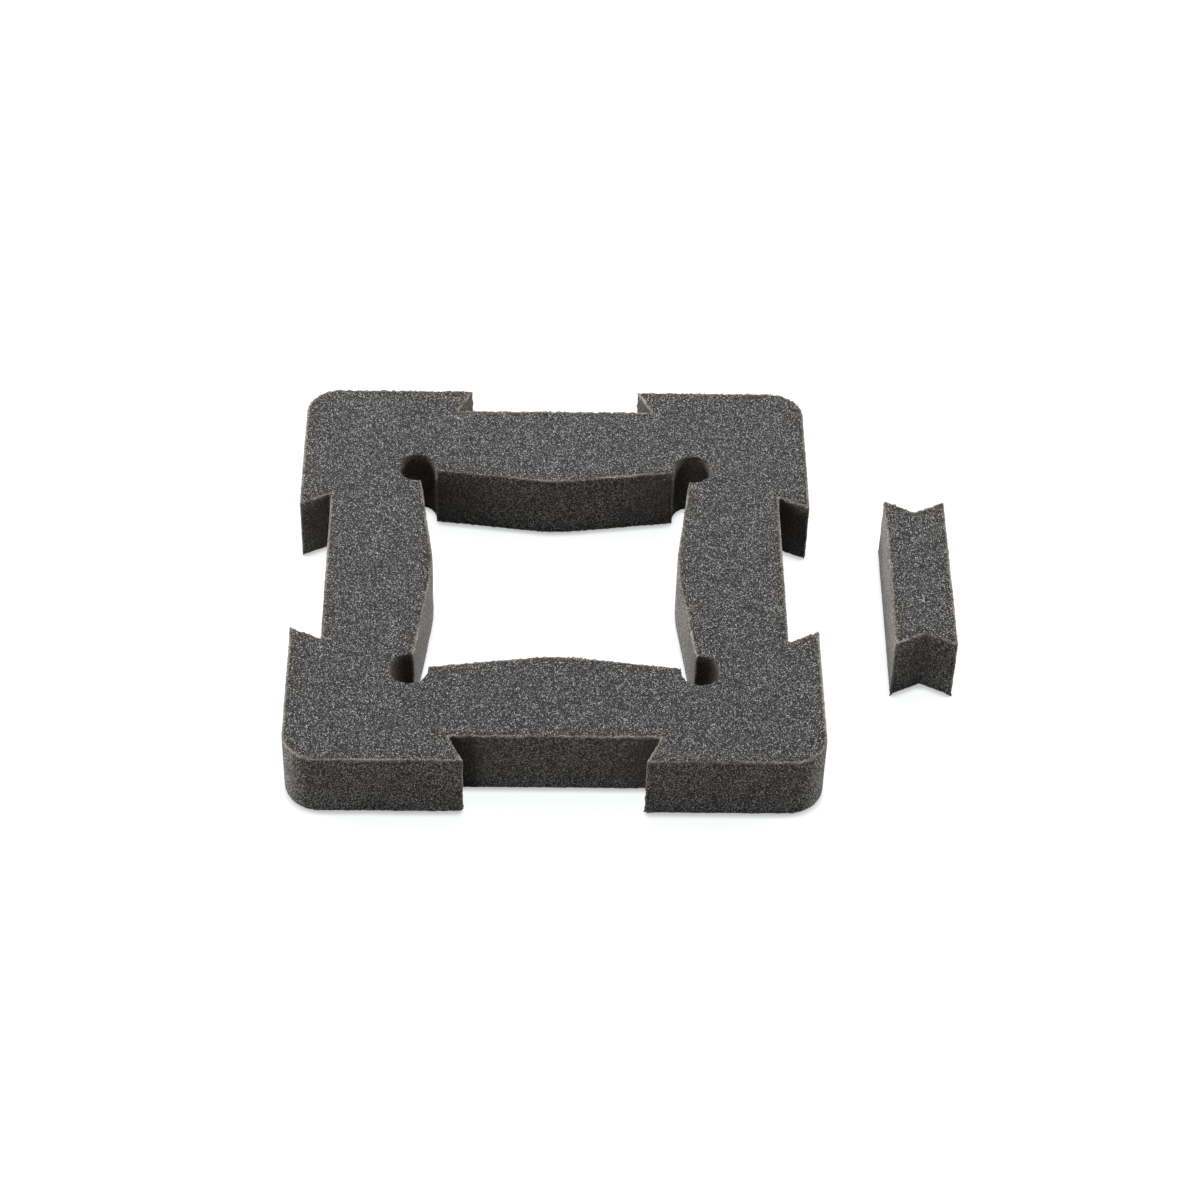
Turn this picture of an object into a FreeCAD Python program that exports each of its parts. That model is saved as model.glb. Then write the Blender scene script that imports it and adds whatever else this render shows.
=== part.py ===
import FreeCAD, Part
import Sketcher

import math
import os

# An interlocking packing frame, cut from one sheet of open-cell foam, and its loose dovetail key.
#
# The frame is a square with rounded corners. The four sides of its opening bow inwards, so that
# they press on whatever stands in it, and a round relief at each corner lets the sides give without
# tearing. Each outer side has a dovetail notch, wider at its floor than at its mouth. Two frames
# set side by side make one hourglass-shaped hole of their facing notches. The key has the shape of
# that hole: sides as long as a notch floor, and a V cut into each end.
#
# Millimetres, +Z up. The origin is the middle of the opening, on the plane that the pieces lie on.

DRIVING_DIMENSIONS = [
    ("frame_side", 210.0, "outer size of the square frame"),
    ("sheet_thickness", 30.0, "foam sheet that both pieces are cut from"),
    ("corner_radius", 14.0, "outer corners of the frame"),
    ("notch_mouth", 69.5, "width of a notch at the frame's outer side"),
    ("notch_flare", 6.25, "how much wider a notch is at its floor, at each end"),
    ("notch_depth", 12.5, "from the frame's outer side to a notch's floor"),
    ("grip_gap", 98.0, "between two opposite grip sides, at their crests before rounding"),
    ("side_bow", 7.3, "how far a grip side bows inwards from the opening's corners to its crest"),
    ("crest_radius", 70.0, "rounding of a grip side's crest"),
    ("relief_offset", 0.95, "from a corner of the opening out to its relief's centre, in X and in Y"),
    ("relief_diameter", 15.4, "round relief at each corner of the opening"),
    ("key_clearance", 0.1, "between the key and each face of a notch: line to line, as foam fits"),
    ("key_gap", 30.5, "between the frame's side and the key that lies beside it"),
    ("key_slip", -1.0, "how far along that side the loose key lies from the notch's middle"),
    ("key_turn", -0.6, "degrees that the loose key lies off square"),
    ("cut_overrun", 5.0, "how far a cut runs past the face that it leaves by"),
]

# Sizes that follow from the driving dimensions, as expressions of them.
FRAME_HALF = "dims.frame_side / 2"
MOUTH_HALF = "dims.notch_mouth / 2"
NOTCH_FLOOR_HALF = "(dims.notch_mouth / 2 + dims.notch_flare)"
NOTCH_FLOOR_AT = "(dims.frame_side / 2 - dims.notch_depth)"
CREST_AT = "dims.grip_gap / 2"
OPENING_HALF = "(dims.grip_gap / 2 + dims.side_bow)"
RELIEF_AT = "(dims.grip_gap / 2 + dims.side_bow + dims.relief_offset)"
# A notch's flank, and so the key's end, leans out by this much for each millimetre of depth.
FLANK_LEAN = "dims.notch_flare / dims.notch_depth"
KEY_HALF_WIDTH = "(dims.notch_depth - dims.key_clearance)"
# Moving a flank in by the clearance, square to itself, shortens the key by clearance / cos(lean).
KEY_WAIST_HALF = f"({MOUTH_HALF} - dims.key_clearance / cos(atan({FLANK_LEAN})))"
KEY_TIP_HALF = f"({KEY_WAIST_HALF} + {KEY_HALF_WIDTH} * {FLANK_LEAN})"

SIDES = 4
ZERO = None
CLOSE = 1e-6
# Sketcher's own numbers for the axes and the origin, and for a line's start and a circle's centre.
X_AXIS, Y_AXIS = -1, -2
START, END, CENTRE = 1, 2, 3

doc = FreeCAD.newDocument("foam_frame_and_key")
sheet = doc.addObject("Spreadsheet::Sheet", "dims")


def fill_sheet():
    """Writes each driving dimension in a cell of its own, with its name as the cell's alias."""
    for row, (name, value, meaning) in enumerate(DRIVING_DIMENSIONS, start=1):
        sheet.set(f"A{row}", str(value))
        sheet.setAlias(f"A{row}", name)
        sheet.set(f"B{row}", meaning)
    doc.recompute()


def size_of(expression):
    """What an expression of the driving dimensions comes to now."""
    return 0.0 if expression is ZERO else float(sheet.evalExpression(expression))


def minus(expression):
    """The expression with its sign turned."""
    return ZERO if expression is ZERO else f"-1 * {expression}"


def quarter_turns(corner):
    """A corner, as a pair of expressions, and its copies on the frame's other three sides."""
    x, y = corner
    return [(x, y), (minus(y), x), (minus(x), minus(y)), (y, minus(x))]


def new_body(label):
    """An empty body whose label names the piece."""
    body = doc.addObject("PartDesign::Body", label)
    body.Label = label
    return body


def origin_feature(body, role):
    """One of a body's own origin planes or axes, found by its role."""
    return next(part for part in body.Origin.OriginFeatures if part.Role == role)


def ground_sketch(body, name):
    """An empty sketch on the plane that the pieces lie on."""
    sketch = body.newObject("Sketcher::SketchObject", name)
    sketch.AttachmentSupport = [(origin_feature(body, "XY_Plane"), "")]
    sketch.MapMode = "FlatFace"
    return sketch


def bind_point(sketch, geometry, point, place):
    """Ties a point of a sketch's geometry to a pair of expressions, measured from the origin."""
    for kind, expression, zero_line in zip(("DistanceX", "DistanceY"), place, (Y_AXIS, X_AXIS)):
        if expression is ZERO:
            sketch.addConstraint(Sketcher.Constraint("PointOnObject", geometry, point, zero_line))
            continue
        value = size_of(expression)
        distance = Sketcher.Constraint(kind, X_AXIS, START, geometry, point, value)
        sketch.setExpression(f"Constraints[{sketch.addConstraint(distance)}]", expression)


def polygon_sketch(body, name, corners):
    """A sketch of one closed polygon. Each corner is a pair of expressions."""
    sketch = ground_sketch(body, name)
    points = [FreeCAD.Vector(size_of(x), size_of(y), 0) for x, y in corners]
    for start, end in zip(points, points[1:] + points[:1]):
        sketch.addGeometry(Part.LineSegment(start, end), False)
    for line in range(len(corners)):
        following = (line + 1) % len(corners)
        sketch.addConstraint(Sketcher.Constraint("Coincident", line, END, following, START))
    for line, corner in enumerate(corners):
        bind_point(sketch, line, START, corner)
    return sketch


def circle_sketch(body, name, centre, diameter):
    """A sketch of one circle. Its centre is a pair of expressions, and its diameter is another."""
    sketch = ground_sketch(body, name)
    middle = FreeCAD.Vector(size_of(centre[0]), size_of(centre[1]), 0)
    circle = Part.Circle(middle, FreeCAD.Vector(0, 0, 1), size_of(diameter) / 2)
    ring = sketch.addGeometry(circle, False)
    bind_point(sketch, ring, CENTRE, centre)
    across = sketch.addConstraint(Sketcher.Constraint("Diameter", ring, size_of(diameter)))
    sketch.setExpression(f"Constraints[{across}]", diameter)
    return sketch


def pad_sheet(body, outline):
    """Cuts an outline from the foam sheet, standing on the ground plane."""
    pad = body.newObject("PartDesign::Pad", "sheet_cut")
    pad.Profile = outline
    pad.setExpression("Length", "dims.sheet_thickness")
    doc.recompute()


def must_have_cut(body, before, name):
    """Stops if a cut left a body's volume as it was."""
    if body.Shape.Volume > before - CLOSE:
        raise RuntimeError(f"{name} removed nothing")


def cut_through(body, outline, name):
    """Cuts an outline straight up through the sheet."""
    before = body.Shape.Volume
    cut = body.newObject("PartDesign::Pocket", name)
    cut.Profile = outline
    cut.Reversed = True
    cut.setExpression("Length", "dims.sheet_thickness + dims.cut_overrun")
    doc.recompute()
    must_have_cut(body, before, name)
    return cut


def repeat_on_every_side(body, cut, name):
    """Repeats a cut on all four sides of the frame, about the upright axis of the opening."""
    before = body.Shape.Volume
    pattern = body.newObject("PartDesign::PolarPattern", name)
    pattern.Originals = [cut]
    pattern.Axis = (origin_feature(body, "Z_Axis"), [""])
    pattern.Angle = 360
    pattern.Occurrences = SIDES
    body.Tip = pattern
    doc.recompute()
    must_have_cut(body, before, name)


def round_upright_edges(body, name, radius, corners):
    """Rounds the upright edges that stand at the given corners."""
    places = [(size_of(x), size_of(y)) for x, y in corners]
    edges = []
    for number, edge in enumerate(body.Shape.Edges, start=1):
        foot, head = edge.Vertexes[0].Point, edge.Vertexes[-1].Point
        upright = math.hypot(head.x - foot.x, head.y - foot.y) < CLOSE
        if upright and any(math.hypot(foot.x - x, foot.y - y) < CLOSE for x, y in places):
            edges.append(f"Edge{number}")
    if len(edges) != len(corners):
        raise RuntimeError(f"{name} found {len(edges)} of {len(corners)} edges")
    rounded = body.Tip
    fillet = body.newObject("PartDesign::Fillet", name)
    fillet.Base = (rounded, edges)
    fillet.setExpression("Radius", radius)
    body.Tip = fillet
    doc.recompute()


def notch_outline():
    """One dovetail notch in the +X side. Its flanks run on past the outer side at their lean."""
    past_side = f"({FRAME_HALF} + dims.cut_overrun)"
    past_half = f"({MOUTH_HALF} - dims.cut_overrun * {FLANK_LEAN})"
    return [
        (past_side, past_half),
        (NOTCH_FLOOR_AT, NOTCH_FLOOR_HALF),
        (NOTCH_FLOOR_AT, minus(NOTCH_FLOOR_HALF)),
        (past_side, minus(past_half)),
    ]


def opening_outline():
    """The opening's corners with the crest of a grip side between each two of them."""
    corners = quarter_turns((OPENING_HALF, OPENING_HALF))
    crests = quarter_turns((ZERO, CREST_AT))
    return [point for pair in zip(corners, crests) for point in pair]


def key_outline():
    """The hourglass hole of two facing notches, less the clearance at each face."""
    back_end = [
        (KEY_HALF_WIDTH, KEY_TIP_HALF),
        (ZERO, KEY_WAIST_HALF),
        (minus(KEY_HALF_WIDTH), KEY_TIP_HALF),
    ]
    front_end = [(minus(x), minus(y)) for x, y in back_end]
    return back_end + front_end


def foam_frame():
    """The square frame with its notches, its grip sides and its corner reliefs."""
    body = new_body("foam_frame")
    outer_corners = quarter_turns((FRAME_HALF, FRAME_HALF))
    pad_sheet(body, polygon_sketch(body, "outer_square", outer_corners))
    round_upright_edges(body, "outer_corners", "dims.corner_radius", outer_corners)
    notch = cut_through(body, polygon_sketch(body, "notch_outline", notch_outline()), "notch")
    repeat_on_every_side(body, notch, "notches")
    cut_through(body, polygon_sketch(body, "opening_outline", opening_outline()), "opening")
    round_upright_edges(body, "crests", "dims.crest_radius", quarter_turns((CREST_AT, ZERO)))
    ring = circle_sketch(body, "relief_outline", (RELIEF_AT, RELIEF_AT), "dims.relief_diameter")
    repeat_on_every_side(body, cut_through(body, ring, "relief"), "reliefs")
    return body


def dovetail_key():
    """The loose key, lying beside the frame's +X side and almost in line with its notch."""
    body = new_body("dovetail_key")
    pad_sheet(body, polygon_sketch(body, "key_outline", key_outline()))
    place = f"vector({FRAME_HALF} + dims.key_gap + {KEY_HALF_WIDTH}; dims.key_slip; 0)"
    turn = "rotation(vector(0; 0; 1); dims.key_turn)"
    body.setExpression("Placement", f"placement({place}; {turn})")
    doc.recompute()
    return body


def check(pieces):
    """Stops before anything is written if a feature failed or a piece isn't one sound solid."""
    for item in doc.Objects:
        if "Invalid" in item.State or "Error" in item.State:
            raise RuntimeError(f"{item.Label} failed: {item.State}")
    for piece in pieces:
        shape = piece.Shape
        if shape.isNull() or not shape.isValid() or len(shape.Solids) != 1:
            raise RuntimeError(f"{piece.Label} isn't one valid solid")


def write(pieces):
    """Writes each piece as a STEP file named by its label."""
    os.makedirs("parts", exist_ok=True)
    for piece in pieces:
        piece.Shape.exportStep(f"parts/{piece.Label}.step")
        box = piece.Shape.BoundBox
        across = f"{box.XLength:.2f} x {box.YLength:.2f} x {box.ZLength:.2f} mm"
        print(f"{piece.Label}: {across}, {piece.Shape.Volume:.1f} mm3")


fill_sheet()
made = [foam_frame(), dovetail_key()]
check(made)
write(made)
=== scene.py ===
import math

import bmesh
import bpy
import numpy as np
from bpy.props import FloatProperty, FloatVectorProperty, IntProperty, PointerProperty
from bpy.types import Operator, Panel, PropertyGroup
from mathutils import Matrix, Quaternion, Vector


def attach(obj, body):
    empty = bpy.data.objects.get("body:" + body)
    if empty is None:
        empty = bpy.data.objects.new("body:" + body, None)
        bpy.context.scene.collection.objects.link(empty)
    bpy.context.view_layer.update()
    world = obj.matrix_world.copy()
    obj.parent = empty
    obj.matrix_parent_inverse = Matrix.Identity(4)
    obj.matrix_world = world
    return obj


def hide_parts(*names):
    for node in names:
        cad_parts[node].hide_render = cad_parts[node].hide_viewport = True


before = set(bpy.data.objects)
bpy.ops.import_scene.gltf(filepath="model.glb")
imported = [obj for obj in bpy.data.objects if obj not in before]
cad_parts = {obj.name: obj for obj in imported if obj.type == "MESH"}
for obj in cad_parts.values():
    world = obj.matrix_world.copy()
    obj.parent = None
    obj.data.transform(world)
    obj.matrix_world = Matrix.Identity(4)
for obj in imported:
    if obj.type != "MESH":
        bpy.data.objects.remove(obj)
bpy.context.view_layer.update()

bl_info = {
    "name": "Foam packing frame and key",
    "version": (1, 0, 0),
    "blender": (4, 5, 0),
    "location": "3D View > Sidebar > Foam",
    "description": "Open-cell foam for an interlocking packing frame and its dovetail key",
    "category": "Object",
}

# Everything is in metres. The two foam pieces are laid out again over the solids of the frame that
# is loaded above, so their shape, size and place are always those solids' own.

FOAM_NAME = "charcoal_open_cell_foam"
BAKE_MAP = "OFBake"

# What a foam mesh keeps for each vertex, for the material to read: how deep in an open cell it is,
# how far from a cut edge, and how much it is part of a wall.
DEPTH = "cell_depth"
RIM = "rim_distance"
WALL = "cut_wall"


# ---------------------------------------------------------------------------------------------
# Sizes and colours
# ---------------------------------------------------------------------------------------------


class FoamSizes(PropertyGroup):
    """Sizes of the cells, the strut ends and the cut edges"""

    square: FloatProperty(
        name="Square",
        description="Side of the even squares that a foam surface is laid out in",
        default=0.0004,
        min=0.0002,
        unit="LENGTH",
        precision=5,
    )
    cell: FloatProperty(
        name="Cell",
        description="Distance between the middles of neighbouring foam cells",
        default=0.00095,
        min=0.0004,
        unit="LENGTH",
        precision=5,
    )
    pit: FloatProperty(
        name="Pit",
        description="Depth of a cut cell below the struts around it",
        default=0.00045,
        min=0.0,
        unit="LENGTH",
        precision=5,
    )
    wall_pit: FloatProperty(
        name="Wall pit",
        description="Depth of a cut cell on the walls, which the die leaves smoother",
        default=0.00018,
        min=0.0,
        unit="LENGTH",
        precision=5,
    )
    grain: FloatProperty(
        name="Grain",
        description="Distance between the strut ends that catch the light",
        default=0.00038,
        min=0.0002,
        unit="LENGTH",
        precision=5,
    )
    ripple: FloatProperty(
        name="Ripple",
        description="Height of the slow waves that the knife leaves in soft foam",
        default=0.00012,
        min=0.0,
        unit="LENGTH",
        precision=5,
    )
    fray: FloatProperty(
        name="Fray",
        description="How far the struts along a cut edge stand up or are torn away",
        default=0.00055,
        min=0.0,
        unit="LENGTH",
        precision=5,
    )
    wear: FloatProperty(
        name="Wear",
        description="How far a cut edge is rounded off",
        default=0.0003,
        min=0.0,
        unit="LENGTH",
        precision=5,
    )
    tuft: FloatProperty(
        name="Tuft",
        description="How far torn foam sticks out at the lower tips of the corners",
        default=0.0011,
        min=0.0,
        unit="LENGTH",
        precision=5,
    )
    seed: IntProperty(name="Seed", description="Picks another set of cells", default=7, min=0)


class FoamColours(PropertyGroup):
    """Colours of the foam"""

    # Painted highlight: the near-white colour of strut ends that catch the light, far lighter than
    # the charcoal foam itself.
    strut: FloatVectorProperty(
        name="Strut",
        description="A strut end at the surface of the foam that faces the light",
        default=(0.97, 0.98, 1.0),
        size=3,
        min=0.0,
        max=1.0,
        subtype="COLOR",
    )
    # Partly the dark charcoal foam and partly painted shade: the inside of an open cell is drawn near
    # black for the shade in it.
    pit: FloatVectorProperty(
        name="Pit",
        description="The inside of an open cell",
        default=(0.020, 0.018, 0.016),
        size=3,
        min=0.0,
        max=1.0,
        subtype="COLOR",
    )
    # Painted light: the warm light line along the cut edges, for light that gets into the thin foam
    # there.
    rim: FloatVectorProperty(
        name="Rim",
        description="Thin foam at a cut edge, which light gets into",
        default=(0.47, 0.439, 0.405),
        size=3,
        min=0.0,
        max=1.0,
        subtype="COLOR",
    )
    wall: FloatVectorProperty(
        name="Wall",
        description="Tint of the walls that the die leaves",
        default=(1.0, 0.925, 0.83),
        size=3,
        min=0.0,
        max=1.0,
        subtype="COLOR",
    )


class StageSettings(PropertyGroup):
    """The camera, the floor and the lights"""

    aim: FloatVectorProperty(
        name="Aim",
        description="Point of the floor in the middle of the picture",
        default=(0.0189, 0.0104, 0.0),
        size=3,
        subtype="TRANSLATION",
    )
    distance: FloatProperty(
        name="Distance", description="From the camera to its aim", default=1.3458, unit="LENGTH"
    )
    azimuth: FloatProperty(
        name="Azimuth",
        description="Turn of the camera to the left of the front",
        default=math.radians(1.75),
        subtype="ANGLE",
    )
    elevation: FloatProperty(
        name="Elevation",
        description="Angle at which the camera looks down",
        default=math.radians(45.8),
        subtype="ANGLE",
    )
    roll: FloatProperty(
        name="Roll", description="Tilt of the camera", default=math.radians(1.75), subtype="ANGLE"
    )
    lens: FloatProperty(
        name="Lens", description="Focal length", default=97.76, unit="CAMERA"
    )
    floor: FloatProperty(
        name="Floor", description="Width of the floor", default=6.0, unit="LENGTH"
    )
    shadow: FloatProperty(
        name="Shadow", description="Strength of the shadows on the floor", default=0.17, max=1.0
    )
    bounce: FloatProperty(
        name="Bounce", description="How much light the floor gives back", default=0.42, max=1.0
    )
    top_light: FloatProperty(
        name="Top light", description="Power of the soft box overhead", default=9.0, unit="POWER"
    )
    left_light: FloatProperty(
        name="Left light", description="Power of the soft box at the left", default=15.8, unit="POWER"
    )
    right_light: FloatProperty(
        name="Right light",
        description="Power of the soft box at the right",
        default=11.5,
        unit="POWER",
    )
    front_light: FloatProperty(
        name="Front light",
        description="Power of the soft box behind the camera",
        default=2.8,
        unit="POWER",
    )
    room_light: FloatProperty(
        name="Room light", description="Brightness of the white room", default=0.035, min=0.0
    )


# ---------------------------------------------------------------------------------------------
# Foam surfaces
# ---------------------------------------------------------------------------------------------

# The random numbers: the weights of a cell's place in its three sines, the step between two seeds,
# and the multiple of a sine whose fraction is the number.
SINE_WEIGHTS = np.array([[127.1, 311.7, 74.7], [269.5, 183.3, 246.1], [113.5, 271.9, 124.6]])
SEED_STEP = 1.37
SINE_TIMES = 43758.5453
NEIGHBOURS = [(i, j, k) for i in (-1, 0, 1) for j in (-1, 0, 1) for k in (-1, 0, 1)]

# Points nearer than MERGE are one. A turn between two faces that is below GENTLE is part of a curve,
# and below FLAT it is none. A face is a wall where its normal's share along Z is below STEEP, and
# its foam is that of the top or the underside from LEVEL on.
MERGE = 1e-6
GENTLE = math.radians(30)
FLAT = 1e-3
STEEP = 0.5
LEVEL = 0.8

# How far the distances to a cut edge and to an outline are followed, and the largest share of an
# edge, which keeps its end apart from the next edge's start.
RIM_REACH = 0.006
OUTLINE_REACH = 0.003
BEFORE_END = 1 - 1e-9

# Space between the parts of the flat map, and the normal's share along Z past which a face is laid
# with the top or the underside.
MAP_GAP = 0.002
MAP_LEVEL = 0.7

# The cells, in cell sizes: how far their middles stray, the distances from its border at which a
# cell starts and stops getting deeper, the waves that bend the borders, and how far they do.
CELL_STRAY = 0.85
CELL_SLOPE = (0.03, 0.30)
BEND_WAVE = 4
BEND = 0.35

# The waves of torn foam, in cell sizes, and of the ripples, in metres. Their seeds are these numbers
# away from the cells' own.
TEAR_WAVE = 1.1
TEAR_SEED = 11
RIPPLE_WAVE = 0.012
RIPPLE_SEED = 23

# The lowest part, which the floor presses nearly straight: its height, the share of the pits that
# its edges lose, and the share of the fray that they keep.
PRESSED = 0.004
PITS_LOST = 0.8
FRAY_KEPT = 0.3

# A torn tip: how wide it is each way, how many tufts it sticks out, and how many more or less it may.
TIP_SPREAD = (0.0022, 0.0022, 0.0016)
TIP_TUFTS = 0.3
TIP_CHANCE = 1.4


def random_numbers(cells, seed):
    """Three even random numbers from 0 to 1 for each whole-numbered cell (N by 3).

    Each is the fraction left of a large multiple of a sine of the cell's place, taken in turn with
    other weights, so one cell always gives the same numbers.
    """
    turned = np.sin(cells @ SINE_WEIGHTS.T + seed * SEED_STEP) * SINE_TIMES
    return turned - np.floor(turned)


def cell_borders(points, size, seed):
    """How far each point is from the border between its two nearest cells, in cell sizes.

    Space is cut into cubes of the given size, with one cell's middle at a random place in each. The
    result is half the difference between the distances to the two nearest middles.
    """
    scaled = points / size
    home = np.floor(scaled)
    inside = scaled - home
    nearest = np.full(len(points), np.inf)
    second = np.full(len(points), np.inf)
    for step in NEIGHBOURS:
        middle = np.array(step) + 0.5 + CELL_STRAY * (random_numbers(home + step, seed) - 0.5)
        away = np.linalg.norm(middle - inside, axis=1)
        second = np.minimum(second, np.maximum(nearest, away))
        nearest = np.minimum(nearest, away)
    return (second - nearest) / 2


def soft_noise(points, size, seed):
    """Smooth noise from -1 to 1 with waves of about the given size.

    It is a random number at each corner of a cubic grid, blended in between by 3t^2 - 2t^3.
    """
    scaled = points / size
    home = np.floor(scaled)
    blend = scaled - home
    blend = blend * blend * (3 - 2 * blend)
    total = np.zeros(len(points))
    for corner in np.ndindex(2, 2, 2):
        share = np.prod(np.where(corner, blend, 1 - blend), axis=1)
        total += share * random_numbers(home + corner, seed)[:, 0]
    return 2 * total - 1


def soft_noise_3d(points, size, seed):
    """Three soft noises that don't follow each other, one for each direction (N by 3)."""
    return np.stack([soft_noise(points, size, seed + way) for way in range(3)], axis=1)


def step_up(value, low, high):
    """0 below low and 1 above high, with the smooth blend 3t^2 - 2t^3 in between."""
    t = np.clip((value - low) / (high - low), 0, 1)
    return t * t * (3 - 2 * t)


def numbers(items, name, width, kind=np.float32):
    """One property of all items of a mesh, as an array with the given number of columns."""
    found = np.empty(len(items) * width, kind)
    items.foreach_get(name, found)
    return found.reshape(-1, width) if width > 1 else found


def merged_copy(node):
    """A bmesh copy of a CAD node with its loose triangles joined."""
    solid = bmesh.new()
    solid.from_mesh(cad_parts[node].data)
    bmesh.ops.remove_doubles(solid, verts=solid.verts, dist=MERGE)
    return solid


def is_wall(face):
    """Whether a face stands upright."""
    return abs(face.normal.z) < STEEP


def turn_at(edge):
    """The turn between an edge's two faces, above 0 where the edge sticks out."""
    return edge.calc_face_angle_signed(0)


def lower_end(edge):
    """The place of the lower end of an upright edge."""
    return min((vertex.co for vertex in edge.verts), key=lambda place: place.z)


def in_round_hole(edge):
    """Whether a wall beside this edge goes on in a gentle hollow curve."""
    walls = {face for face in edge.link_faces if is_wall(face)}
    level = {side for wall in walls for side in wall.edges if abs(turn_at(side)) < FLAT}
    walls |= {face for side in level for face in side.link_faces}
    return any(-GENTLE < turn_at(side) < -FLAT for wall in walls for side in wall.edges)


def cut_edges(solid):
    """The sharp edges of an upright block that stick out, round rims apart, and its lower tips.

    The edges come as their starts and ends (M by 3 each). The tips are the lower ends of the upright
    edges that aren't beside a round hole (K by 3). With them comes the way in which each sticks out,
    which is the sum of its two walls' normals.
    """
    sharp = [edge for edge in solid.edges if edge.is_manifold and turn_at(edge) > GENTLE]
    upright = {edge for edge in sharp if all(is_wall(face) for face in edge.link_faces)}
    found = [edge for edge in sharp if edge in upright or not in_round_hole(edge)]
    starts = np.array([edge.verts[0].co for edge in found])
    ends = np.array([edge.verts[1].co for edge in found])
    corners = [edge for edge in found if edge in upright and not in_round_hole(edge)]
    tips = np.array([lower_end(edge) for edge in corners])
    ways = np.array([edge.link_faces[0].normal + edge.link_faces[1].normal for edge in corners])
    return starts, ends, tips, ways


def upper_outlines(solid):
    """The closed outlines of the flat top of a block, each as its corners in order (M by 2)."""
    following = {}
    for face in solid.faces:
        for loop in face.loops:
            outside = loop.link_loop_radial_next.face.normal.z < STEEP
            if face.normal.z > STEEP and outside:
                following[loop.vert] = loop.link_loop_next.vert
    outlines = []
    while following:
        corner, after = following.popitem()
        outline = [corner.co[:2]]
        while after in following:
            outline.append(after.co[:2])
            after = following.pop(after)
        outlines.append(np.array(outline))
    return outlines


def nearest_edges(points, starts, ends, reach):
    """How far each point is from the nearest of some straight edges, and where on them that is.

    The distance is reach where all edges are farther. The place is the edge's number plus the share
    of the edge that lies before the nearest spot. The points are sorted along X, so each edge is only
    measured from the points of the slab around it that are in its box in the other directions too.
    """
    order = np.argsort(points[:, 0])
    ordered = points[order]
    nearest = np.full(len(points), reach)
    place = np.zeros(len(points))
    for number, (start, end) in enumerate(zip(starts, ends)):
        low, high = np.minimum(start, end) - reach, np.maximum(start, end) + reach
        first, last = np.searchsorted(ordered[:, 0], (low[0], high[0]))
        slab = ordered[first:last]
        near = np.all((slab[:, 1:] > low[1:]) & (slab[:, 1:] < high[1:]), axis=1)
        chosen = first + np.flatnonzero(near)
        along = end - start
        gap = ordered[chosen] - start
        share = np.clip(gap @ along / (along @ along), 0, BEFORE_END)
        away = np.linalg.norm(gap - share[:, None] * along, axis=1)
        closer = away < nearest[chosen]
        nearest[chosen[closer]] = away[closer]
        place[chosen[closer]] = number + share[closer]
    back = np.empty_like(order)
    back[order] = np.arange(len(order))
    return nearest[back], place[back]


def unrolled(points, outlines):
    """How far round the outlines each point is, the first point of a loop, and the loop's length.

    Each is one number per point. The outlines follow each other on one line, and a point goes where
    its nearest spot on them goes.
    """
    starts = np.concatenate(outlines)
    ends = np.concatenate([np.roll(outline, -1, axis=0) for outline in outlines])
    lengths = np.linalg.norm(ends - starts, axis=1)
    before = np.concatenate([[0], np.cumsum(lengths)])
    place = nearest_edges(points[:, :2], starts, ends, OUTLINE_REACH)[1]
    number = place.astype(int)
    loops = np.concatenate([[0], np.cumsum([len(outline) for outline in outlines])])
    loop = np.searchsorted(loops, number, side="right") - 1
    first, last = before[loops[loop]], before[loops[loop + 1]]
    return before[number] + (place - number) * lengths[number], first, last - first


def add_bake_map(mesh, places, outlines):
    """Gives a block's mesh its flat map: its top and underside as they are, and its walls in rows.

    The top and the underside lie side by side. The walls are unrolled, so that a point's place is its
    way round the outline and its height, and cut into rows as long as those two are wide. A face that
    crosses the start of an outline takes it as the outline's end.
    """
    low, high = places.min(axis=0), places.max(axis=0)
    wide, deep, tall = high - low + MAP_GAP
    corner = numbers(mesh.loops, "vertex_index", 1, np.int32)
    sides = numbers(mesh.polygons, "loop_total", 1, np.int32)
    first_corner = numbers(mesh.polygons, "loop_start", 1, np.int32)
    up = np.repeat(numbers(mesh.polygon_normals, "vector", 3)[:, 2], sides)
    spot = places[corner] - low + MAP_GAP / 2
    way, start, length = (values[corner] for values in unrolled(places, outlines))
    furthest = np.repeat(np.maximum.reduceat(way - start, first_corner), sides)
    way += np.where(furthest - (way - start) > length / 2, length, 0)
    row = np.floor(np.repeat(np.minimum.reduceat(way, first_corner), sides) / (2 * wide - MAP_GAP))
    wall_u = way - row * (2 * wide - MAP_GAP) + MAP_GAP / 2
    wall_v = deep + row * tall + spot[:, 2]
    u = np.where(up < -MAP_LEVEL, 2 * wide - spot[:, 0], wall_u)
    u = np.where(up > MAP_LEVEL, spot[:, 0], u)
    v = np.where(np.abs(up) > MAP_LEVEL, spot[:, 1], wall_v)
    side = max(2 * wide, v.max() + MAP_GAP / 2)
    mesh.uv_layers.new(name=BAKE_MAP).uv.foreach_set(
        "vector", (np.stack([u, v], axis=1) / side).astype(np.float32).ravel()
    )


def even_squares(node, name, square):
    """The node's solid as a mesh of even squares, with its cut edges and its upper outlines."""
    solid = merged_copy(node)
    edges, outlines = cut_edges(solid), upper_outlines(solid)
    mesh = bpy.data.meshes.new(name)
    solid.to_mesh(mesh)
    solid.free()
    rough = bpy.data.objects.new(name + "_rough", mesh)
    bpy.context.scene.collection.objects.link(rough)
    squares = rough.modifiers.new("squares", "REMESH")
    squares.mode = "VOXEL"
    squares.voxel_size = square
    evaluated = rough.evaluated_get(bpy.context.evaluated_depsgraph_get())
    laid = bpy.data.meshes.new_from_object(evaluated)
    laid.name = name
    bpy.data.objects.remove(rough)
    return laid, edges, outlines


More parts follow.
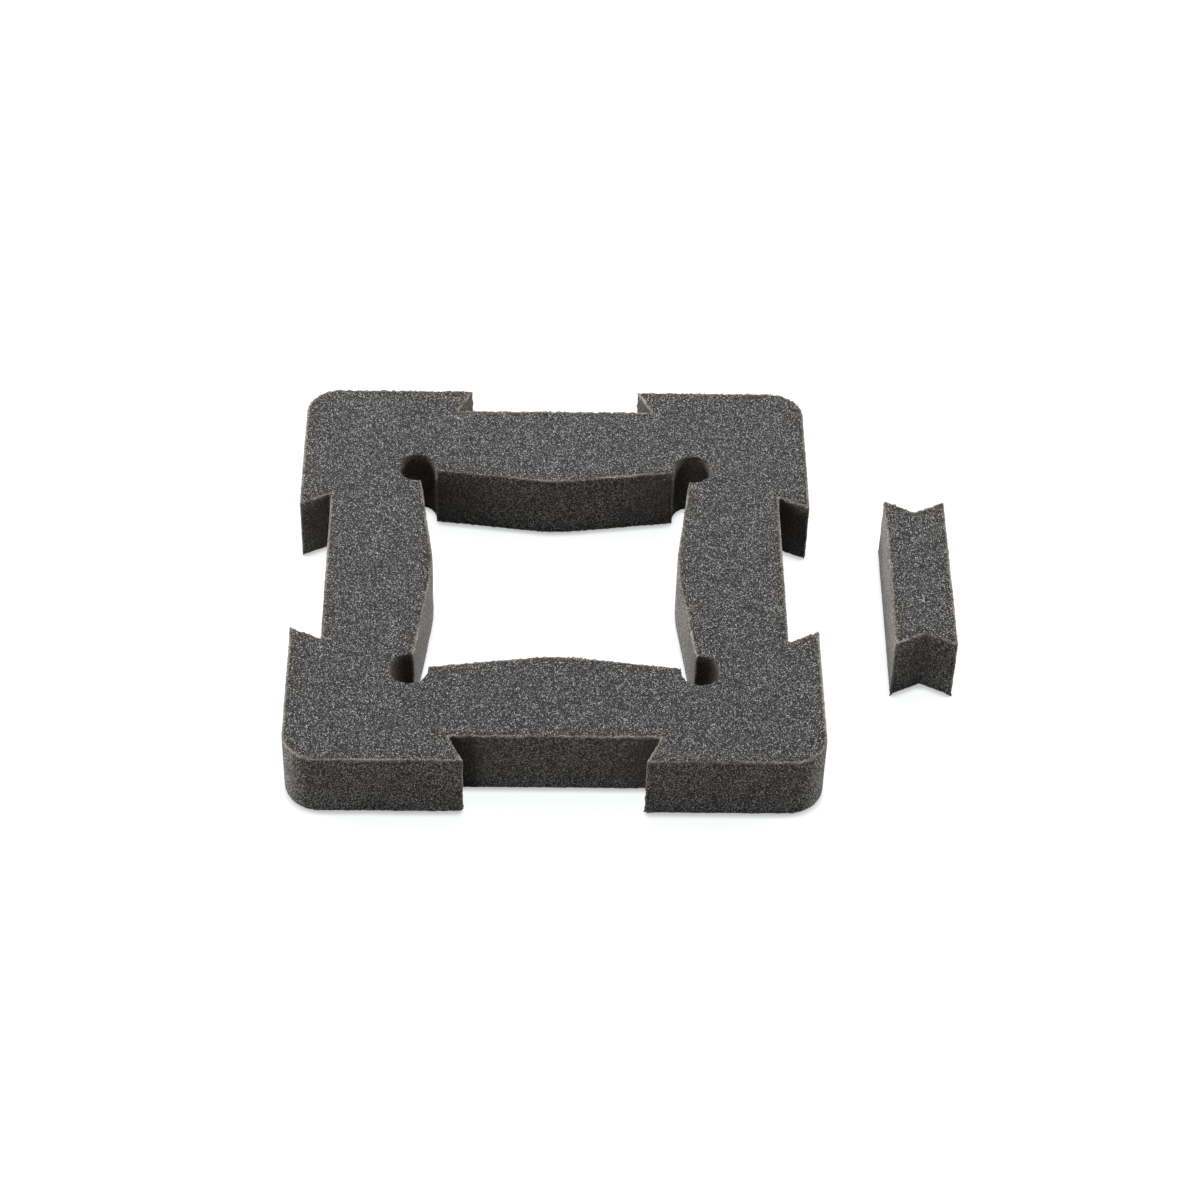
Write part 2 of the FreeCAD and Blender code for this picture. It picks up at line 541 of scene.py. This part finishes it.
def torn_tips(places, torn, tips, ways, tuft):
    """How far the foam sticks out around the torn tips (N by 3).

    At each tip it is the tuft times a share that follows the torn noise, along the tip's way. It
    fades as a bell curve of the distance from the tip.
    """
    moved = np.zeros_like(places)
    for tip, way in zip(tips, ways):
        near_tip = np.exp(-np.sum(((places - tip) / TIP_SPREAD) ** 2, axis=1))
        moved += (tuft * near_tip * (TIP_TUFTS + TIP_CHANCE * torn[:, 0]))[:, None] * way
    return moved


def foam_surface(node, name, sizes):
    """A foam block over a node's solid, as a mesh with its cells cut open.

    Each point moves along its normal by half the pit depth, less all of it inside a cell and less
    the wear at a cut edge, plus slow ripples. Close to a cut edge it also moves by the fray, each
    way, and at the lower tips of the upright edges the torn foam sticks out. The floor presses the
    lowest part nearly straight, so its edges have less fray and smaller pits, and no point ends up
    lower than the flat base.
    """
    mesh, (starts, ends, tips, ways), outlines = even_squares(node, name, sizes.square)
    places = numbers(mesh.vertices, "co", 3).astype(float)
    normals = numbers(mesh.vertex_normals, "vector", 3).astype(float)
    base = places[:, 2].min()
    add_bake_map(mesh, places, outlines)
    rim = nearest_edges(places, starts, ends, RIM_REACH)[0]
    wall = 1 - step_up(np.abs(normals[:, 2]), STEEP, LEVEL)
    bend = BEND * sizes.cell * soft_noise_3d(places, BEND_WAVE * sizes.cell, sizes.seed)
    depth = step_up(cell_borders(places + bend, sizes.cell, sizes.seed), *CELL_SLOPE)
    torn = soft_noise_3d(places, TEAR_WAVE * sizes.cell, sizes.seed + TEAR_SEED)
    ripple = soft_noise(places, RIPPLE_WAVE, sizes.seed + RIPPLE_SEED)
    worn = np.exp(-(rim / sizes.cell) ** 2)
    free = step_up(places[:, 2] - base, 0, PRESSED)
    pit = (sizes.pit + (sizes.wall_pit - sizes.pit) * wall) * (1 - PITS_LOST * worn * (1 - free))
    moved = sizes.ripple * ripple + pit * (0.5 - depth) - sizes.wear * worn
    fray = sizes.fray * np.exp(-rim / sizes.cell) * (FRAY_KEPT + (1 - FRAY_KEPT) * free)
    places += moved[:, None] * normals + torn_tips(places, torn, tips, ways, sizes.tuft)
    places += fray[:, None] * torn
    places[:, 2] = np.maximum(places[:, 2], base)
    mesh.vertices.foreach_set("co", places.astype(np.float32).ravel())
    add_values(mesh, DEPTH, depth)
    add_values(mesh, RIM, rim)
    add_values(mesh, WALL, wall)
    mesh.shade_smooth()
    mesh.update()
    return mesh


def add_values(mesh, name, values):
    """Keeps one number for each vertex, for the material to read."""
    attribute = mesh.attributes.new(name, "FLOAT", "POINT")
    attribute.data.foreach_set("value", values.astype(np.float32))


def add_foam_piece(context, node, name, body):
    """Puts a foam piece in the scene in place of its plain solid."""
    scene = context.scene
    mesh = foam_surface(node, name, scene.foam_sizes)
    mesh.materials.clear()
    mesh.materials.append(foam_material(scene.foam_sizes, scene.foam_colours))
    piece = bpy.data.objects.new(name, mesh)
    scene.collection.objects.link(piece)
    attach(piece, body)
    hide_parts(node)


# ---------------------------------------------------------------------------------------------
# Material
# ---------------------------------------------------------------------------------------------

# The finish of the foam, which is the same all over.
FINISH = {
    "Roughness": 0.7,
    "Specular IOR Level": 0.06,
    "Sheen Weight": 0.55,
    "Sheen Roughness": 0.3,
    "Sheen Tint": (1.0, 0.98, 0.94, 1),
}

# The strut ends: a random tone from end to end, and in their bright spots painted highlights, for
# struts that catch the light. SLANT turns their grid so that no face of the foam lies along it. An
# end fades from its middle to its border over END_FADE, in grains, down to END_LEFT. In GLINT and
# IN_PIT the first number is for the top and the underside and the second for the walls: GLINT is the
# power that makes the bright painted ends rare, and IN_PIT the light that the painted shade leaves
# in the depth of a cell.
SLANT = (0.6, 0.9, 0.4)
END_FADE = (0.25, 0.75)
END_LEFT = 0.08
GLINT = (4.4, 2.6)
IN_PIT = (0.36, 0.25)

# Hollows, drawn with painted shade: where the foam's own faces close a place in, it is drawn darker
# and more even, as shade falls there. HOLLOW is how far off a face still closes a place in,
# HOLLOW_RAYS how many rays look for one, and OPENING the range of the openness that counts. CALM is
# how even the foam looks in a closed place, WALL_CALM how much more so on a wall, and EVEN how light
# it then is. WALL_LIGHT is how many times lighter a wall is, as painted light, and HOLLOW_LIGHT the
# share of its colour that a closed place keeps under the painted shade.
HOLLOW = 0.03
HOLLOW_RAYS = 4
OPENING = (0.45, 0.97)
CALM = 0.7
WALL_CALM = 0.05
EVEN = 0.13
WALL_LIGHT = 1.2
HOLLOW_LIGHT = 0.53

# The tint of the walls grows from LOW_BROWN to its full share over BROWN_HEIGHTS. The top and the
# underside take it on near a cut edge, from its full share to none over WARM_EDGE.
BROWN_HEIGHTS = (0.006, 0.016)
LOW_BROWN = 0.3
WARM_EDGE = (0.0005, 0.0045)

# The painted light line along a cut edge, for light that gets into the thin foam there: where it
# starts and stops to fade, how long its stretches are, the noise at which they start and are full,
# what is left between them, and the least on a strut end.
RIM_LIGHT_FADE = (0.0003, 0.0013)
STRETCH = 0.018
STRETCH_NOISE = (0.36, 0.62)
STRETCH_LEFT = 0.3
RIM_LIGHT_LEAST = 0.2

# How far the strut ends stand out in the light.
BUMP_HEIGHT = 0.00015
BUMP_STRENGTH = 0.9


def new_material(name):
    """An empty node material and its tree."""
    material = bpy.data.materials.new(name)
    material.use_nodes = True
    material.node_tree.nodes.clear()
    return material, material.node_tree


def feed(tree, socket, value):
    """Links a socket to another node's output, or gives it a plain value."""
    if isinstance(value, bpy.types.NodeSocket):
        tree.links.new(value, socket)
    else:
        socket.default_value = value


def maths(tree, operation, *values, clamp=False):
    """The output of one Math node."""
    node = tree.nodes.new("ShaderNodeMath")
    node.operation = operation
    node.use_clamp = clamp
    for socket, value in zip(node.inputs, values):
        feed(tree, socket, value)
    return node.outputs["Value"]


def eased(tree, value, low, high, at_low=0.0, at_high=1.0):
    """A value taken smoothly from at_low, where it is low or less, to at_high."""
    node = tree.nodes.new("ShaderNodeMapRange")
    node.interpolation_type = "SMOOTHSTEP"
    feed(tree, node.inputs["Value"], value)
    feed(tree, node.inputs["From Min"], low)
    feed(tree, node.inputs["From Max"], high)
    feed(tree, node.inputs["To Min"], at_low)
    feed(tree, node.inputs["To Max"], at_high)
    return node.outputs["Result"]


def mixed(tree, share, first, second, kind="MIX"):
    """A mix of two colours, with the given share of the second, or another blend of the two."""
    node = tree.nodes.new("ShaderNodeMix")
    node.data_type = "RGBA"
    node.blend_type = kind
    feed(tree, node.inputs["Factor"], share)
    feed(tree, node.inputs["A"], first)
    feed(tree, node.inputs["B"], second)
    return node.outputs["Result"]


def between(tree, share, first, second):
    """A number taken from the first to the second value as the share goes from 0 to 1."""
    node = tree.nodes.new("ShaderNodeMix")
    feed(tree, node.inputs["Factor"], share)
    feed(tree, node.inputs["A"], first)
    feed(tree, node.inputs["B"], second)
    return node.outputs["Result"]


def surface_value(tree, name):
    """One of the numbers that a foam mesh keeps for each vertex."""
    node = tree.nodes.new("ShaderNodeAttribute")
    node.attribute_name = name
    return node.outputs["Fac"]


def strut_ends(tree, place, grain):
    """Strut ends as small cells: two random numbers for each, and how much of it is at a point."""
    slanted = tree.nodes.new("ShaderNodeMapping")
    feed(tree, slanted.inputs["Vector"], place)
    feed(tree, slanted.inputs["Rotation"], SLANT)
    spots = tree.nodes.new("ShaderNodeTexVoronoi")
    feed(tree, spots.inputs["Scale"], 1 / grain)
    feed(tree, spots.inputs["Vector"], slanted.outputs["Vector"])
    luck = tree.nodes.new("ShaderNodeSeparateColor")
    feed(tree, luck.inputs["Color"], spots.outputs["Color"])
    body = eased(tree, spots.outputs["Distance"], *END_FADE, 1.0, END_LEFT)
    return luck.outputs["Red"], luck.outputs["Green"], body


def openness(tree):
    """How open a place is, from 0 in a narrow hole to 1 on a free face."""
    around = tree.nodes.new("ShaderNodeAmbientOcclusion")
    around.samples = HOLLOW_RAYS
    around.only_local = True
    feed(tree, around.inputs["Distance"], HOLLOW)
    return eased(tree, around.outputs["AO"], *OPENING)


def foam_light(tree, painted_glint, body, wall, open_air):
    """How light the foam is, from 0 as inside a cell to 1 as a strut that faces the light.

    It is the painted highlight of a strut end times the painted shade of the cell's depth, made even
    in closed places and a little on walls, which then are a little lighter, as painted light.
    """
    # Painted shade: the foam is drawn darker towards the depth of each cell.
    shade = eased(tree, surface_value(tree, DEPTH), 0.0, 1.0, 1.0, between(tree, wall, *IN_PIT))
    light = maths(tree, "MULTIPLY", maths(tree, "MULTIPLY", painted_glint, body), shade)
    shut = maths(tree, "SUBTRACT", CALM, maths(tree, "MULTIPLY", open_air, CALM))
    calm = maths(tree, "MULTIPLY_ADD", wall, WALL_CALM, shut, clamp=True)
    light = between(tree, calm, light, EVEN)
    # Painted light: the walls are drawn lighter, as if more light fell on them.
    more = eased(tree, wall, 0.0, 1.0, 1.0, WALL_LIGHT)
    return maths(tree, "MULTIPLY", light, more, clamp=True)


def wall_brown(tree, place, wall):
    """How much of the walls' tint a point has, which grows with its height on a wall."""
    height = tree.nodes.new("ShaderNodeSeparateXYZ")
    feed(tree, height.inputs["Vector"], place)
    grown = eased(tree, height.outputs["Z"], *BROWN_HEIGHTS, LOW_BROWN, 1.0)
    return maths(tree, "MULTIPLY", wall, grown)


def painted_rim_light(tree, place, rim, luck):
    """How much painted light a point at a cut edge has, for light that gets into the thin foam there:
    it comes in stretches of strut ends.
    """
    stretches = tree.nodes.new("ShaderNodeTexNoise")
    feed(tree, stretches.inputs["Vector"], place)
    feed(tree, stretches.inputs["Scale"], 1 / STRETCH)
    stretch = eased(tree, stretches.outputs["Fac"], *STRETCH_NOISE, STRETCH_LEFT, 1.0)
    thin = maths(tree, "MULTIPLY", between(tree, luck, RIM_LIGHT_LEAST, 1.0), stretch)
    return maths(tree, "MULTIPLY", thin, eased(tree, rim, *RIM_LIGHT_FADE, 1.0, 0.0))


def foam_material(sizes, colours):
    """Charcoal open-cell foam, with painted highlights on the strut ends, painted shade in the pits
    and hollows, and painted light along the cut edges.
    """
    if FOAM_NAME in bpy.data.materials:
        return bpy.data.materials[FOAM_NAME]
    material, tree = new_material(FOAM_NAME)
    output = tree.nodes.new("ShaderNodeOutputMaterial")
    shader = tree.nodes.new("ShaderNodeBsdfPrincipled")
    for name, value in FINISH.items():
        feed(tree, shader.inputs[name], value)
    tree.links.new(shader.outputs["BSDF"], output.inputs["Surface"])
    place = tree.nodes.new("ShaderNodeTexCoord").outputs["Object"]
    rim = surface_value(tree, RIM)
    wall = surface_value(tree, WALL)
    wall_tint = (*colours.wall, 1)
    first_luck, second_luck, body = strut_ends(tree, place, sizes.grain)
    # Painted highlight: a few strut ends are drawn bright, for struts that catch the light.
    painted_glint = maths(tree, "POWER", first_luck, between(tree, wall, *GLINT))
    open_air = openness(tree)
    light = foam_light(tree, painted_glint, body, wall, open_air)
    base = mixed(tree, light, (*colours.pit, 1), (*colours.strut, 1))
    # Painted shade: places that the foam's own faces close in, such as the holes, are drawn darker.
    base = mixed(tree, 1.0, base, between(tree, open_air, HOLLOW_LIGHT, 1.0), "MULTIPLY")
    brown = wall_brown(tree, place, wall)
    base = mixed(tree, brown, base, wall_tint, "MULTIPLY")
    not_brown = maths(tree, "SUBTRACT", 1.0, brown)
    warm = maths(tree, "MULTIPLY", eased(tree, rim, *WARM_EDGE, 1.0, 0.0), not_brown)
    base = mixed(tree, warm, base, wall_tint, "MULTIPLY")
    # Painted light along the cut edges.
    base = mixed(tree, painted_rim_light(tree, place, rim, second_luck), base, (*colours.rim, 1))
    tree.links.new(base, shader.inputs["Base Color"])
    bump = tree.nodes.new("ShaderNodeBump")
    feed(tree, bump.inputs["Distance"], BUMP_HEIGHT)
    feed(tree, bump.inputs["Strength"], BUMP_STRENGTH)
    feed(tree, bump.inputs["Height"], maths(tree, "MULTIPLY", body, painted_glint))
    tree.links.new(bump.outputs["Normal"], shader.inputs["Normal"])
    return material


# ---------------------------------------------------------------------------------------------
# Stage
# ---------------------------------------------------------------------------------------------

# Each soft box has its place and the length of its side, and faces STAGE_MIDDLE.
STAGE_MIDDLE = Vector((0.02, 0.0, 0.0))
SOFT_BOXES = {
    "top": ((0.0, 0.45, 1.1), 0.6),
    "left": ((-1.1, 0.4, 0.55), 0.5),
    "right": ((1.13, 0.3, 0.55), 0.5),
    "front": ((-0.6, -1.2, 0.25), 0.5),
}

# The floor. Its glow and the light on it come to just over full white where nothing shades it. Close
# to a wall, within CONTACT, a painted contact shadow takes the glow down to CONTACT_GLOW as the
# openness goes down CONTACT_RANGE. That openness is looked at along CONTACT_LEAN, so the painted
# shadow is darkest on the floor in front of a wall.
FLOOR_WHITE = (0.985, 0.995, 1.0, 1)
FULL_GLOW = 1.13
CONTACT = 0.0036
CONTACT_RANGE = (0.2, 0.85)
CONTACT_GLOW = 0.48
CONTACT_LEAN = (0.0, 0.7, 0.7)

# Width of the camera's sensor, in millimetres.
SENSOR = 36


def seen_rays(tree):
    """1 for a ray from the camera, or one that a mirror or glass sends on, and 0 for the rest."""
    path = tree.nodes.new("ShaderNodeLightPath")
    seen = path.outputs["Is Camera Ray"]
    for kind in ("Is Glossy Ray", "Is Transmission Ray"):
        seen = maths(tree, "MAXIMUM", seen, path.outputs[kind])
    return seen


def grey(brightness):
    """A grey colour."""
    return (brightness, brightness, brightness, 1)


def floor_glow_with_painted_shadow(tree, full):
    """The floor's own light, dimmed by a painted shadow in the narrow line where a wall meets the
    floor.
    """
    lean = tree.nodes.new("ShaderNodeCombineXYZ")
    for axis, share in zip("XYZ", CONTACT_LEAN):
        feed(tree, lean.inputs[axis], share)
    near = tree.nodes.new("ShaderNodeAmbientOcclusion")
    feed(tree, near.inputs["Distance"], CONTACT)
    feed(tree, near.inputs["Normal"], lean.outputs["Vector"])
    glow = tree.nodes.new("ShaderNodeEmission")
    feed(tree, glow.inputs["Color"], FLOOR_WHITE)
    # Painted shadow: the glow is dimmer where the floor meets a wall.
    strength = eased(tree, near.outputs["AO"], *CONTACT_RANGE, CONTACT_GLOW, full)
    feed(tree, glow.inputs["Strength"], strength)
    return glow.outputs["Emission"]


def add_floor(stage):
    """A plain floor, seen as white under a thin shadow and a painted contact shadow, that lights the
    foam as pale grey.
    """
    half = stage.floor / 2
    corners = [(-half, -half, 0), (half, -half, 0), (half, half, 0), (-half, half, 0)]
    mesh = bpy.data.meshes.new("floor")
    mesh.from_pydata(corners, [], [(0, 1, 2, 3)])
    floor = bpy.data.objects.new("floor", mesh)
    bpy.context.scene.collection.objects.link(floor)
    material, tree = new_material("white_floor")
    output = tree.nodes.new("ShaderNodeOutputMaterial")
    shadowed = tree.nodes.new("ShaderNodeBsdfDiffuse")
    feed(tree, shadowed.inputs["Color"], grey(stage.shadow))
    seen = tree.nodes.new("ShaderNodeAddShader")
    tree.links.new(floor_glow_with_painted_shadow(tree, FULL_GLOW - stage.shadow), seen.inputs[0])
    tree.links.new(shadowed.outputs["BSDF"], seen.inputs[1])
    lit = tree.nodes.new("ShaderNodeBsdfDiffuse")
    feed(tree, lit.inputs["Color"], grey(stage.bounce))
    either = tree.nodes.new("ShaderNodeMixShader")
    tree.links.new(seen_rays(tree), either.inputs["Fac"])
    tree.links.new(lit.outputs["BSDF"], either.inputs[1])
    tree.links.new(seen.outputs["Shader"], either.inputs[2])
    tree.links.new(either.outputs["Shader"], output.inputs["Surface"])
    mesh.materials.append(material)


def add_soft_box(name, place, size, power):
    """A square area light that faces the middle of the stage."""
    light = bpy.data.lights.new(name, "AREA")
    light.shape = "SQUARE"
    light.size, light.energy = size, power
    box = bpy.data.objects.new(name, light)
    box.location = place
    box.rotation_mode = "QUATERNION"
    box.rotation_quaternion = (STAGE_MIDDLE - Vector(place)).to_track_quat("-Z", "Y")
    bpy.context.scene.collection.objects.link(box)


def add_room(brightness):
    """A white room: full white where it is seen or mirrored, and dimmer as a light."""
    world = bpy.data.worlds.new("white_room")
    bpy.context.scene.world = world
    world.use_nodes = True
    tree = world.node_tree
    tree.nodes.clear()
    output = tree.nodes.new("ShaderNodeOutputWorld")
    white = tree.nodes.new("ShaderNodeBackground")
    feed(tree, white.inputs["Color"], grey(1))
    feed(tree, white.inputs["Strength"], eased(tree, seen_rays(tree), 0.0, 1.0, brightness, 1.0))
    tree.links.new(white.outputs["Background"], output.inputs["Surface"])


def add_camera(stage):
    """The camera, at a distance from its aim along its line of sight, tilted by its roll."""
    level = math.cos(stage.elevation)
    ahead = Vector((
        math.sin(stage.azimuth) * level,
        math.cos(stage.azimuth) * level,
        -math.sin(stage.elevation),
    ))
    camera = bpy.data.objects.new("camera", bpy.data.cameras.new("camera"))
    camera.data.sensor_width = SENSOR
    camera.data.lens = stage.lens
    camera.location = Vector(stage.aim) - stage.distance * ahead
    camera.rotation_mode = "QUATERNION"
    upright = ahead.to_track_quat("-Z", "Y")
    camera.rotation_quaternion = upright @ Quaternion((0, 0, 1), stage.roll)
    bpy.context.scene.collection.objects.link(camera)
    bpy.context.scene.camera = camera


# ---------------------------------------------------------------------------------------------
# Operators, panel and registration
# ---------------------------------------------------------------------------------------------


class FOAM_OT_stage(Operator):
    """Sets up the white floor, the soft lights and the camera"""

    bl_idname = "foam.stage"
    bl_label = "Set the stage"

    def execute(self, context):
        stage = context.scene.foam_stage
        add_floor(stage)
        add_room(stage.room_light)
        for side, (place, size) in SOFT_BOXES.items():
            add_soft_box(side + "_box", place, size, getattr(stage, side + "_light"))
        add_camera(stage)
        context.scene.view_settings.view_transform = "Standard"
        return {"FINISHED"}


class FOAM_OT_frame(Operator):
    """Makes the foam packing frame"""

    bl_idname = "foam.frame"
    bl_label = "Make the frame"

    def execute(self, context):
        add_foam_piece(context, "foam_frame", "frame_foam", "frame")
        return {"FINISHED"}


class FOAM_OT_key(Operator):
    """Makes the loose foam dovetail key"""

    bl_idname = "foam.key"
    bl_label = "Make the key"

    def execute(self, context):
        add_foam_piece(context, "dovetail_key", "key_foam", "key")
        return {"FINISHED"}


class FOAM_PT_panel(Panel):
    """All sizes, colours and settings, and a button for each operator"""

    bl_idname = "FOAM_PT_panel"
    bl_label = "Foam packing frame"
    bl_space_type = "VIEW_3D"
    bl_region_type = "UI"
    bl_category = "Foam"

    def draw(self, context):
        column = self.layout.column()
        scene = context.scene
        for group in (scene.foam_sizes, scene.foam_colours, scene.foam_stage):
            for name in group.bl_rna.properties.keys():
                if name not in ("rna_type", "name"):
                    column.prop(group, name)
        for operator in (FOAM_OT_stage, FOAM_OT_frame, FOAM_OT_key):
            column.operator(operator.bl_idname)


CLASSES = (
    FoamSizes,
    FoamColours,
    StageSettings,
    FOAM_OT_stage,
    FOAM_OT_frame,
    FOAM_OT_key,
    FOAM_PT_panel,
)


def register():
    for made in CLASSES:
        bpy.utils.register_class(made)
    bpy.types.Scene.foam_sizes = PointerProperty(type=FoamSizes)
    bpy.types.Scene.foam_colours = PointerProperty(type=FoamColours)
    bpy.types.Scene.foam_stage = PointerProperty(type=StageSettings)


def unregister():
    del bpy.types.Scene.foam_sizes
    del bpy.types.Scene.foam_colours
    del bpy.types.Scene.foam_stage
    for made in reversed(CLASSES):
        bpy.utils.unregister_class(made)


def main():
    register()
    bpy.ops.foam.stage()
    bpy.ops.foam.frame()
    bpy.ops.foam.key()


if __name__ == "__main__":
    main()
